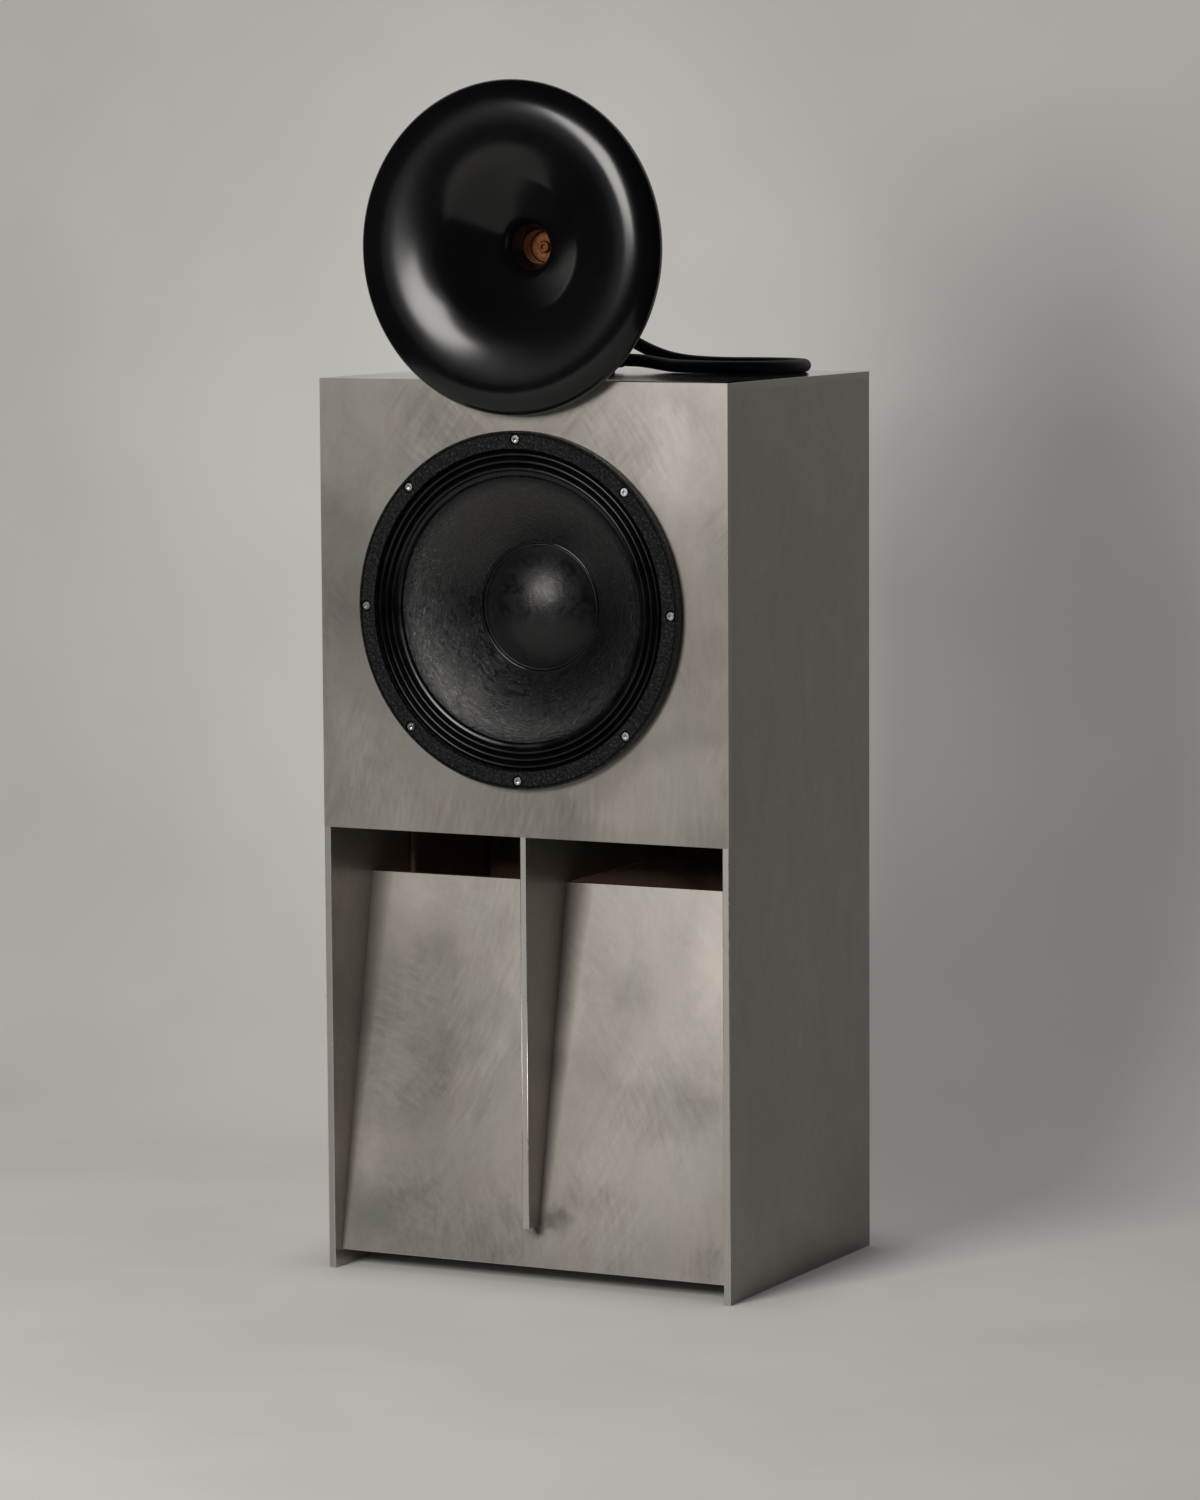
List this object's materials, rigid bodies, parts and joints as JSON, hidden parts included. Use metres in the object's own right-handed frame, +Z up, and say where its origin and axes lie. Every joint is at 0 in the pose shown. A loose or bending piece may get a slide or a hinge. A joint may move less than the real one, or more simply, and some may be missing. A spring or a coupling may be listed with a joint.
{
  "type": "loudspeaker",
  "caption": "Two way floor standing loudspeaker: bare aluminium plate cabinet, large black woofer, vent over a leaning ramp with a centre fin, and a round rolled lip horn on top.",
  "frame": {"origin": "on the floor, below the middle of the whole part's bounding box, 8 mm in front of the cabinet's own centre because the horn overhangs the front", "axes": "+Z up, -Y the way the horn and the woofer face, +X the loudspeaker's left side, which is on the right when it is seen from the front"},
  "size_m": [0.495, 0.4284, 1.3119],
  "materials": {
    "plate": "bare sanded aluminium plate with a fine haze of scratches",
    "felt": "grey black felt",
    "cast_black": "black crackle paint on a die cast frame",
    "foam": "black foam gasket",
    "screw_steel": "bright zinc plated steel",
    "surround_cloth": "black doped cloth, slightly glossy",
    "spider_cloth": "resin treated cloth",
    "motor_steel": "black coated steel",
    "ferrite": "dark grey ferrite",
    "terminal_board": "brown laminate",
    "horn_black": "satin black",
    "stand_steel": "black powder coat",
    "driver_steel": "machined steel",
    "copper": "copper plated, turned",
    "cover_black": "satin black paint",
    "cable_rubber": "black rubber",
    "cable_sleeve": "black braided sleeve",
    "circuit_board": "green laminate",
    "winding": "enamelled copper wire",
    "capacitor_film": "yellow film capacitor",
    "knob_black": "black plastic",
    "knob_red": "red plastic",
    "brass": "gold plated brass",
    "cone_paper": "black doped paper with a fibrous sheen",
    "diaphragm_metal": "bright metal dome"
  },
  "bodies": {
    "cabinet": {"side_plate_left": "plate", "side_plate_right": "plate", "top_plate": "plate", "back_plate": "plate", "front_baffle": "plate", "bottom_plate": "plate", "ramp_panel": "plate", "centre_fin": "plate", "damping_left": "felt", "damping_right": "felt", "damping_back": "felt", "woofer_frame": "cast_black", "woofer_gasket": "foam", "woofer_screws": "screw_steel", "woofer_surround": "surround_cloth", "woofer_spider": "spider_cloth", "woofer_front_plate": "motor_steel", "woofer_magnet": "ferrite", "woofer_yoke": "motor_steel", "woofer_terminals": "terminal_board", "horn": "horn_black", "horn_stand": "stand_steel", "stand_screws": "screw_steel", "driver_front_plate": "driver_steel", "phase_plug": "copper", "driver_magnet": "ferrite", "driver_rear_plate": "motor_steel", "driver_cover": "cover_black", "diaphragm_rim": "spider_cloth", "driver_bolts": "screw_steel", "driver_boot": "cable_rubber", "driver_cable": "cable_sleeve", "cable_elbow": "cable_rubber", "crossover_board": "circuit_board", "crossover_spacers": "screw_steel", "crossover_coils": "winding", "crossover_capacitors": "capacitor_film", "terminal_bushes": "knob_black", "terminal_studs": "brass"},
    "cone_assembly": {"woofer_cone": "cone_paper", "dust_cap": "cone_paper", "voice_coil": "winding"},
    "diaphragm_assembly": {"driver_diaphragm": "diaphragm_metal"},
    "knob_plus": {"terminal_knob_plus": "knob_red"},
    "knob_minus": {"terminal_knob_minus": "knob_black"}
  },
  "joints": [
    {"name": "woofer_travel", "type": "slide", "parent": "cabinet", "child": "cone_assembly", "axis": [0, 1, 0], "range_m": [-0.008, 0.008], "stiffness_N_per_m": 4000, "deforming": ["woofer_surround", "woofer_spider"]},
    {"name": "diaphragm_travel", "type": "slide", "parent": "cabinet", "child": "diaphragm_assembly", "axis": [0, 1, 0], "range_m": [-0.0004, 0.0004], "stiffness_N_per_m": 8000, "deforming": ["diaphragm_rim"]},
    {"name": "knob_plus_turn", "type": "hinge", "parent": "cabinet", "child": "knob_plus", "pos_m": [0.0095, 0.20425, 0.12], "axis": [0, 1, 0], "range_deg": [-1080, 0]},
    {"name": "knob_minus_turn", "type": "hinge", "parent": "cabinet", "child": "knob_minus", "pos_m": [-0.0095, 0.20425, 0.12], "axis": [0, 1, 0], "range_deg": [-1080, 0]}
  ]
}
